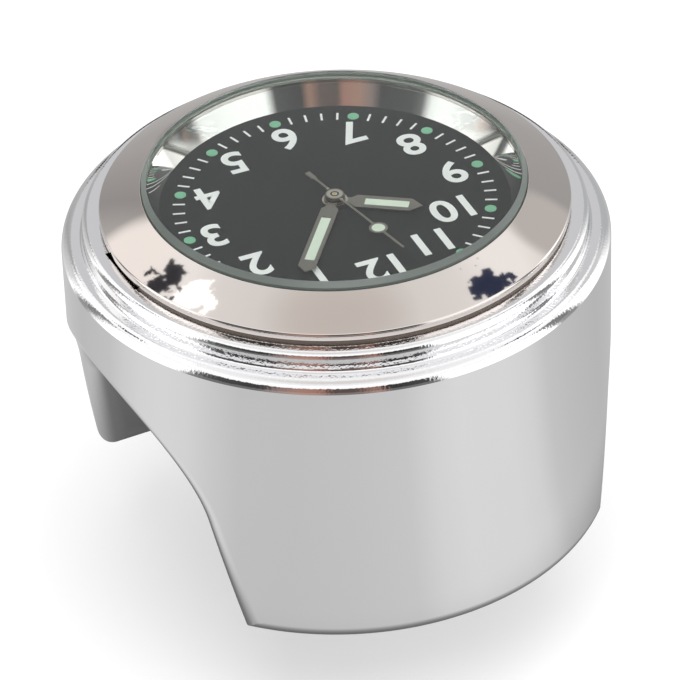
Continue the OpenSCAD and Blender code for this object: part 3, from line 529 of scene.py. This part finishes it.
flare_z = saddle_r * math.sin(leg_flare)
mouth_low = leg_z - 2
arch = [(leg_face(mouth_low + (flare_z - mouth_low) * k / 12),
         mouth_low + (flare_z - mouth_low) * k / 12,
         math.cos(leg_flare), math.sin(leg_flare)) for k in range(12)]
half_round = 64
for k in range(half_round + 1):
    a = leg_flare + (math.pi - 2 * leg_flare) * k / half_round
    arch.append((saddle_r * math.cos(a), saddle_r * math.sin(a), math.cos(a), math.sin(a)))
arch += [(-y, z, -ny, nz) for y, z, ny, nz in arch[11::-1]]


def mouth_ring(y, z, ny, nz, arc_steps=20, reach=0.8, skim=0.01):
    "Section of the rounding cutter at one point of the arch, and the ball's centre there"
    inward = np.array([0.0, ny, nz])
    middle = np.array([0.0, y, z]) + mouth_round * inward
    inner = body_r - mouth_round
    middle[0] = math.sqrt(inner ** 2 - middle[1] ** 2)
    outward = np.array([middle[0], middle[1], 0]) / inner
    spread = math.acos(float(-inward @ outward))
    ring = []
    for k in range(arc_steps + 1):
        s = k / arc_steps
        r = mouth_round + (skim if k in (0, arc_steps) else 0)
        way = (math.sin((1 - s) * spread) * -inward + math.sin(s * spread) * outward)
        ring.append(middle + r * way / math.sin(spread))
    far = mouth_round + reach
    ring.append(middle + far * outward)
    ring.append(middle + far * (outward - inward) / (1 + math.cos(spread)))
    ring.append(middle - far * inward)
    return ring, middle


rings = [mouth_ring(*p) for p in arch]
ball_path = [middle for ring, middle in rings]
ring_n = len(rings[0][0])
cut_points = [p for ring, middle in rings for p in ring]
cut_faces = [(i * ring_n + j, i * ring_n + (j + 1) % ring_n,
              (i + 1) * ring_n + (j + 1) % ring_n, (i + 1) * ring_n + j)
             for i in range(len(rings) - 1) for j in range(ring_n)]
cut_faces += [tuple(range(ring_n - 1, -1, -1)),
              tuple((len(rings) - 1) * ring_n + j for j in range(ring_n))]
mouth_front = solid_from("mouth_front", cut_points, cut_faces)
mouth_back = solid_from("mouth_back", [(-p[0], p[1], p[2]) for p in cut_points],
                        [tuple(reversed(f)) for f in cut_faces])

round_z = leg_z + inner_round
round_y = leg_face(round_z) + inner_round / math.cos(leg_flare)
side = [(saddle_r * math.cos(a), saddle_r * math.sin(a))
        for a in np.linspace(math.pi / 2, leg_flare, 49)]
side += [(round_y + inner_round * math.cos(a), round_z + inner_round * math.sin(a))
         for a in np.linspace(math.pi + leg_flare, 1.5 * math.pi, 9)]
side[-1] = (side[-1][0], leg_z - 0.02)
side += [(round_y, leg_z - 1)]


def bar_through(name, section, half_length):
    "Cutter along the handlebar with a section of (y, z) points"
    n = len(section)
    return solid_from(
        name,
        [(x, y, z) for x in (-half_length, half_length) for y, z in section],
        [tuple(range(n)), tuple(range(2 * n - 1, n - 1, -1))] +
        [(k, k + n, (k + 1) % n + n, (k + 1) % n) for k in range(n)])


arch_cutter = bar_through("arch_cutter", side + [(-y, z) for y, z in side[:0:-1]], body_r + 1)

seat_half = math.radians(75.5)
seat_length = 20.1
seat = [radius * np.array([math.sin(a), math.cos(a)])
        for radius, way in ((saddle_r - 1, 1), (seat_r, -1))
        for a in np.linspace(-seat_half * way, seat_half * way, 49)]
seat_cutter = bar_through("seat_cutter", seat, seat_length / 2)

strap_half = 5.5
strap_gap = 0.3
screw_y = 17.9
washer_r = 2.75
tapped_r = 1.55
tapped_depth = 16
leg_pocket_y = screw_y + washer_r + 0.4
leg_pocket_z = -2.0
crown_slot_end = 20.15
crown_slot_half = 3
cut(housing, arch_cutter, mouth_front, mouth_back, seat_cutter)
for side_y in (-1, 1):
    near, far = sorted((0.0, side_y * leg_pocket_y))
    cut(housing, block("leg_pocket", (-strap_half - strap_gap, near, leg_z - 1),
                       (strap_half + strap_gap, far, leg_pocket_z)),
        drill("tapped_hole", tapped_r, (0, side_y * screw_y, leg_z), tapped_depth))
cut(housing, block("crown_slot", (0, -crown_slot_half, pocket_z + 0.3),
                   (crown_slot_end, crown_slot_half, rim_z + 1)))


def mirror_normals(piece, spine, spine_r):
    "Gives a polished skin the true normals of its cylinder, arcs and rolled edges"
    mesh = piece.data
    tree = KDTree(len(spine))
    for i, p in enumerate(spine):
        tree.insert(p, i)
    tree.balance()
    arcs = [(body_r - leg_round, leg_z + leg_round, leg_round),
            (body_r - shoulder, tread_z - shoulder, shoulder),
            (collar_r + collar_foot, tread_z + collar_foot, collar_foot),
            (collar_r - collar_round, rim_z - collar_round, collar_round)]
    normals = [None] * len(mesh.loops)
    for face in mesh.polygons:
        flat = face.normal
        for loop in face.loop_indices:
            p = mesh.vertices[mesh.loops[loop].vertex_index].co / MM
            r = math.hypot(p.x, p.y)
            outward = Vector((p.x / r, p.y / r, 0)) if r > 1 else Vector((1, 0, 0))
            best, fit = flat, math.cos(math.radians(14))
            tries = []
            for wall_r in (body_r, collar_r, pocket_r):
                if abs(r - wall_r) < 0.02:
                    tries.append(outward)
            for arc_r, arc_z, arc in arcs:
                d = outward * (r - arc_r) + Vector((0, 0, p.z - arc_z))
                if abs(d.length - arc) < 0.02:
                    tries.append(d.normalized())
            bar = math.hypot(p.y, p.z)
            if abs(bar - saddle_r) < 0.02:
                tries.append(Vector((0, p.y / bar, p.z / bar)))
            for mirrored in (Vector((p.x, p.y, p.z)), Vector((-p.x, p.y, p.z))):
                near, i, gap = tree.find(mirrored)
                if abs(gap - spine_r) < 0.03:
                    d = (mirrored - near).normalized()
                    tries.append(Vector((d.x * (1 if mirrored.x == p.x else -1), d.y, d.z)))
            for tried in tries:
                for way in (tried, -tried):
                    if way.dot(flat) > fit:
                        best, fit = way, way.dot(flat)
            normals[loop] = best.copy()
    mesh.normals_split_custom_set(normals)


dense = []
for a, b in zip(ball_path, ball_path[1:]):
    for t in (0, 0.25, 0.5, 0.75):
        dense.append(Vector(a * (1 - t) + b * t))
mirror_normals(housing, dense, mouth_round)

chrome = hard_finish("chrome_plate", (0.85, 0.85, 0.86), 0.02, smudge=0.02, shade=0.03,
                     scale=60, bump=0)
tree = chrome.node_tree
place = tree.nodes["Texture Coordinate"]
peel = tree.nodes.new("ShaderNodeTexNoise")
peel.inputs["Scale"].default_value = 4200
peel.inputs["Detail"].default_value = 1
height = tree.nodes.new("ShaderNodeSeparateXYZ")
on_shoulder = tree.nodes.new("ShaderNodeMapRange")
on_shoulder.interpolation_type = "SMOOTHSTEP"
on_shoulder.inputs["From Min"].default_value = (tread_z - 1.3) * MM
on_shoulder.inputs["From Max"].default_value = (tread_z - 0.4) * MM
on_shoulder.inputs["To Min"].default_value = 0.08
relief = tree.nodes["Bump"]
amount = tree.nodes.new("ShaderNodeMath")
amount.operation = "MULTIPLY"
connect(tree, place.outputs["Object"], peel.inputs["Vector"])
connect(tree, place.outputs["Object"], height.inputs[0])
connect(tree, height.outputs["Z"], on_shoulder.inputs["Value"])
connect(tree, peel.outputs["Fac"], amount.inputs[0])
connect(tree, on_shoulder.outputs["Result"], amount.inputs[1])
connect(tree, amount.outputs[0], relief.inputs["Height"])
relief.inputs["Strength"].default_value = 0.35
relief.inputs["Distance"].default_value = 0.03 * MM
housing.data.materials.append(chrome)
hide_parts("housing")
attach(housing, "housing")


# Rubber: a strip bonded into the saddle and one in the strap grip the bar, and thin rings
# seal the insert. Moulded, matt, and a little dusty; the ring under the bezel is silicone.
def dress(material, *nodes):
    "Gives a material to CAD nodes whose shape stays"
    for name in nodes:
        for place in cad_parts[name].material_slots:
            place.material = material


rubber = hard_finish("moulded_rubber", (0.012, 0.012, 0.013), 0.62, metallic=0,
                     smudge=0.2, shade=0.5, scale=900, bump=0.4, bump_mm=0.03)
dress(rubber, "bar_pad", "strap_pad", "case_oring", "back_gasket")
silicone = hard_finish("brown_silicone", (0.17, 0.13, 0.105), 0.4, metallic=0,
                       smudge=0.1, shade=0.2, scale=700, bump=0.1, bump_mm=0.01)
dress(silicone, "seat_gasket")

# Lower strap and plain steel pieces: the strap is a plated zinc casting, drawn up into the
# legs by two socket-head screws over split washers. Screws, case and crown are turned from
# steel and polished.
zinc = hard_finish("plated_zinc", (0.66, 0.66, 0.68), 0.22, smudge=0.1, shade=0.1,
                   scale=300, bump=0.15, bump_mm=0.01)
dress(zinc, "clamp_strap", "battery_strap")
steel = hard_finish("polished_steel", (0.6, 0.57, 0.55), 0.2, smudge=0.1,
                    shade=0.08, scale=300, bump=0.1, bump_mm=0.005)
dress(steel, "clamp_screw_12", "clamp_screw_6", "spring_washers", "case_ring", "case_back",
      "stem", "sliding_pinion", "setting_lever", "bridge_screws", "crown")

# Bezel: turned from steel, its broad cone satin polished and its low rim left upright. The
# skirt under it presses into the case ring and carries the crystal.
bezel_r = 20.1
bezel_in = 16.55
bezel_top = 23.35
flange_z = 20.85
rim_top = flange_z + 0.6
shelf_z = 22.2
shelf_r = 16.0
shelf_t = 0.3
shelf_lean = 0.158
skirt_r = 17.2
skirt_in = 16.8
skirt_z = 20.3
lip_in = 16.43
turn_over = 0.2
edge = 0.08
rise = bezel_top - rim_top - 0.14
slope = math.degrees(math.atan2(rise, bezel_r - 0.3 - bezel_in - 0.12))
outline = [(bezel_in, shelf_z), (bezel_in, bezel_top - 0.18), (lip_in, bezel_top - 0.15)]
outline += round_run((lip_in + edge, bezel_top - edge), edge, 180, 90 - slope, 6)
outline += round_run((bezel_r - turn_over, rim_top + 0.14 - turn_over), turn_over,
                     90 - slope, 0, 12)
outline += round_run((bezel_r - 0.1, flange_z + 0.1), 0.1, 0, -90, 5)
outline += [(skirt_r, flange_z), (skirt_r, skirt_z), (skirt_in, skirt_z),
            (skirt_in, shelf_z - shelf_t), (shelf_r, shelf_z - shelf_t),
            (shelf_r + shelf_lean, shelf_z), (bezel_in, shelf_z)]
bezel = lathe("turned_bezel", outline, turns=256)
satin = hard_finish("satin_steel", (0.66, 0.61, 0.58), 0.045, smudge=0.03, shade=0.03,
                    scale=200, bump=0)
bezel.data.materials.append(satin)
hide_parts("bezel")
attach(bezel, "clock")

# Crystal: a flat disc of mineral glass with a ground edge, pressed into the bezel with a
# thin ring of clear nylon.
crystal_r = 16.4
crystal_z = 22.4
crystal_top_z = 24.0
edge = 0.2
bevel = 0.42
outline = [(0.001, crystal_z), (crystal_r - edge, crystal_z), (crystal_r, crystal_z + edge),
           (crystal_r, crystal_top_z - bevel), (crystal_r - bevel, crystal_top_z),
           (0.001, crystal_top_z)]
crystal = lathe("watch_crystal", outline, turns=192, smooth=20)
ring_nylon = hard_finish("clear_nylon", (0.36, 0.38, 0.34), 0.35, metallic=0,
                         smudge=0.1, shade=0.15, scale=700, bump=0.1, bump_mm=0.004)
dress(ring_nylon, "crystal_gasket")
glass = bpy.data.materials.new("mineral_glass")
glass.use_nodes = True
tree = glass.node_tree
shader = tree.nodes["Principled BSDF"]
shader.inputs["Base Color"].default_value = (0.97, 1.0, 0.985, 1)
shader.inputs["Transmission Weight"].default_value = 1
shader.inputs["IOR"].default_value = 1.5
shader.inputs["Specular Tint"].default_value = (0.25, 0.25, 0.25, 1)
dust = tree.nodes.new("ShaderNodeTexNoise")
place = tree.nodes.new("ShaderNodeTexCoord")
clean = tree.nodes.new("ShaderNodeMapRange")
dust.inputs["Scale"].default_value = 300
clean.inputs["From Min"].default_value = 0.55
clean.inputs["From Max"].default_value = 0.9
clean.inputs["To Max"].default_value = 0.004
connect(tree, place.outputs["Object"], dust.inputs["Vector"])
connect(tree, dust.outputs["Fac"], clean.inputs["Value"])
connect(tree, clean.outputs["Result"], shader.inputs["Roughness"])
crystal.data.materials.append(glass)
ground = hard_finish("ground_glass_edge", (0.4, 0.47, 0.43), 0.3, metallic=0, smudge=0.1,
                     shade=0.1, scale=1500, bump=0.1, bump_mm=0.004)
shader = ground.node_tree.nodes["Principled BSDF"]
shader.inputs["Transmission Weight"].default_value = 0.75
shader.inputs["IOR"].default_value = 1.5
crystal.data.materials.append(ground)
for face in crystal.data.polygons:
    if abs(face.normal.z) < 0.9:
        face.material_index = 1
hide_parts("crystal")
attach(crystal, "clock")

# Rehaut: the bright cone between the dial and the crystal. A ring pressed from aluminium
# and polished, held down on the dial by the bezel's shelf.
dial_top = 20.1
dial_open_r = 15.0
low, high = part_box("rehaut_ring")
rehaut_out = high.x / MM
rehaut_top = high.z / MM
outline = [(dial_open_r, dial_top), (rehaut_out, dial_top), (rehaut_out, rehaut_top),
           (shelf_r - 0.03, rehaut_top), (dial_open_r, dial_top)]
rehaut = lathe("bright_rehaut", outline, turns=256)
bright = hard_finish("bright_flange", (0.95, 0.93, 0.91), 0.035, smudge=0.015,
                     shade=0.03, scale=200, bump=0)
rehaut.data.materials.append(bright)
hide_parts("rehaut_ring")
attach(rehaut, "clock")

# Dial: a brass disc painted matt black and pad printed in white with 48 minute marks and
# upright numerals. Twelve raised dots hold the luminous paint.
clock_turn = math.radians(-3.4)
dot_ring = 13.3
mark_length = 1.05
mark_width = 0.2
figure_size = 4.5
ink_t = 0.02
black_paint = hard_finish("matt_black_paint", (0.013, 0.013, 0.014), 0.6, metallic=0,
                          smudge=0.1, shade=0.1, scale=2500, bump=0.02,
                          bump_mm=0.01)
shader = black_paint.node_tree.nodes["Principled BSDF"]
shader.inputs["Specular IOR Level"].default_value = 0.15
dress(black_paint, "dial")
ink = hard_finish("white_ink", (0.97, 0.97, 0.96), 0.5, metallic=0, smudge=0.05,
                  shade=0.06, scale=1500, bump=0.1, bump_mm=0.004)


def dial_place(radius, minutes):
    "Point on the dial in metres, for a radius and an angle counted in minutes from 12"
    a = math.pi / 2 - minutes * math.tau / 60 + clock_turn
    return radius * math.cos(a) * MM, radius * math.sin(a) * MM, a


def join(name, pieces):
    "Makes one piece of several"
    bpy.ops.object.select_all(action="DESELECT")
    for piece in pieces:
        piece.select_set(True)
    bpy.context.view_layer.objects.active = pieces[0]
    bpy.ops.object.join()
    made = bpy.context.object
    made.name = name
    bpy.ops.object.transform_apply(location=True, rotation=True, scale=True)
    return made


marks = []
for minute in range(60):
    if minute % 5:
        x, y, a = dial_place(dot_ring, minute)
        bpy.ops.object.select_all(action="DESELECT")
        bpy.ops.mesh.primitive_cube_add(size=1, location=(x, y, (dial_top + ink_t / 2) * MM),
                                        rotation=(0, 0, a))
        mark = bpy.context.object
        mark.scale = (mark_length * MM, mark_width * MM, ink_t * MM)
        bpy.ops.object.transform_apply(location=True, rotation=True, scale=True)
        marks.append(mark)
minute_marks = join("minute_marks", marks)
numerals = []
numeral_ring = {1: 10.75, 3: 11.2, 10: 10.2, 11: 10.2, 12: 10.55}
for hour in range(1, 13):
    x, y, a = dial_place(numeral_ring.get(hour, 10.95), hour * 5)
    bpy.ops.object.select_all(action="DESELECT")
    bpy.ops.object.text_add(location=(x, y, (dial_top + ink_t / 2) * MM),
                            rotation=(0, 0, clock_turn))
    figure = bpy.context.object
    figure.data.body = str(hour)
    figure.data.size = figure_size * MM
    figure.data.extrude = ink_t / 2 * MM
    figure.data.align_x = "CENTER"
    figure.data.align_y = "CENTER"
    figure.data.resolution_u = 5
    figure.data.offset = 0.09 * MM
    figure.data.space_character = 0.95
    bpy.ops.object.convert(target="MESH")
    bpy.ops.object.transform_apply(location=True, rotation=True, scale=True)
    numerals.append(bpy.context.object)
dial_numerals = join("dial_numerals", numerals)
for printed in (minute_marks, dial_numerals):
    bpy.ops.object.select_all(action="DESELECT")
    printed.select_set(True)
    bpy.context.view_layer.objects.active = printed
    bpy.ops.object.mode_set(mode="EDIT")
    bpy.ops.mesh.select_all(action="SELECT")
    bpy.ops.mesh.remove_doubles(threshold=1e-7)
    bpy.ops.mesh.normals_make_consistent(inside=False)
    bpy.ops.object.mode_set(mode="OBJECT")
    printed.data.materials.clear()
    printed.data.materials.append(ink)
    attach(printed, "clock")

# Hands: stamped from nickel silver and brushed, with luminous paint in their windows. At
# the centre each is pressed on a short tube; its rims are painted as bright rings of
# highlight, with painted shade in the dark rings between them.
hand = hard_finish("brushed_hand", (0.27, 0.25, 0.215), 0.3, smudge=0.1, shade=0.15,
                   scale=1200, bump=0.2, bump_mm=0.01)
painted_rings_reach = 1.25
tree = hand.node_tree
place = tree.nodes["Texture Coordinate"]
flat = tree.nodes.new("ShaderNodeVectorMath")
flat.operation = "MULTIPLY"
flat.inputs[1].default_value = (1, 1, 0)
reach = tree.nodes.new("ShaderNodeVectorMath")
reach.operation = "LENGTH"
part_way = tree.nodes.new("ShaderNodeMapRange")
part_way.inputs["From Max"].default_value = painted_rings_reach * MM
# Painted highlight and shade: bright and dark rings of colour round the hand's axis stand in
# for light caught on the tube's rims.
painted_hub_rings = tree.nodes.new("ShaderNodeValToRGB")
fill_ramp(painted_hub_rings, [(0.0, (0.75, 0.72, 0.68)), (0.17, (0.75, 0.72, 0.68)),
                   (0.2, (0.05, 0.045, 0.04)), (0.28, (0.05, 0.045, 0.04)),
                   (0.33, (0.62, 0.57, 0.5)), (0.52, (0.55, 0.5, 0.44)),
                   (0.6, (0.2, 0.18, 0.15)), (0.72, (0.2, 0.17, 0.14)),
                   (0.76, (0.6, 0.54, 0.46)), (0.86, (0.55, 0.5, 0.43)),
                   (0.92, (0.27, 0.25, 0.215)), (1.0, (0.27, 0.25, 0.215))])
connect(tree, place.outputs["Object"], flat.inputs[0])
connect(tree, flat.outputs["Vector"], reach.inputs[0])
connect(tree, reach.outputs["Value"], part_way.inputs["Value"])
connect(tree, part_way.outputs["Result"], painted_hub_rings.inputs["Fac"])
connect(tree, painted_hub_rings.outputs["Color"], tree.nodes["Group"].inputs["Color"])
dress(hand, "hour_hand", "minute_hand", "second_hand")
lume = hard_finish("luminous_paint", (0.78, 0.87, 0.73), 0.7, metallic=0, smudge=0.1,
                   shade=0.12, scale=2500, bump=0.3, bump_mm=0.01)
dress(lume, "hour_lume", "minute_lume", "second_lume")
dot_paint = hard_finish("dot_paint", (0.22, 0.55, 0.34), 0.6, metallic=0, smudge=0.1,
                        shade=0.15, scale=2500, bump=0.3, bump_mm=0.01)
dress(dot_paint, "lume_dots")

# Movement: gilt brass plates and train, a copper coil on a soft iron core, a black holder
# ring of nylon, and the cell under its strap.
gilt = hard_finish("gilt_brass", (0.72, 0.5, 0.22), 0.28, smudge=0.1, shade=0.1,
                   scale=400, bump=0.2, bump_mm=0.005)
dress(gilt, "main_plate", "train_bridge")
wheel = hard_finish("wheel_brass", (0.75, 0.58, 0.28), 0.3, smudge=0.1, shade=0.12,
                    scale=800, bump=0.2, bump_mm=0.004)
dress(wheel, "fifth_wheel", "seconds_wheel", "third_wheel", "centre_wheel", "minute_wheel",
      "hour_wheel", "setting_wheel")
nylon = hard_finish("black_nylon", (0.03, 0.03, 0.033), 0.45, metallic=0,
                    smudge=0.15, shade=0.3, scale=600, bump=0.3, bump_mm=0.02)
dress(nylon, "movement_holder")
board = hard_finish("green_board", (0.02, 0.12, 0.05), 0.35, metallic=0, smudge=0.1,
                    shade=0.3, scale=900, bump=0.2, bump_mm=0.01)
dress(board, "circuit_block")
copper = hard_finish("enamelled_copper", (0.62, 0.2, 0.08), 0.3, smudge=0.1,
                     shade=0.2, scale=2000, bump=0.5, bump_mm=0.03)
dress(copper, "coil")
core = hard_finish("soft_iron", (0.4, 0.4, 0.41), 0.35, smudge=0.1, shade=0.12,
                   scale=700, bump=0.2, bump_mm=0.005)
dress(core, "stator", "quartz_can")
magnet = hard_finish("sintered_magnet", (0.1, 0.1, 0.11), 0.5, metallic=0.6,
                     smudge=0.1, shade=0.3, scale=3000, bump=0.3, bump_mm=0.01)
dress(magnet, "rotor")
cell = hard_finish("nickel_cell", (0.6, 0.6, 0.6), 0.25, smudge=0.15, shade=0.1,
                   scale=500, bump=0.15, bump_mm=0.006)
dress(cell, "battery")

low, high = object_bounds()
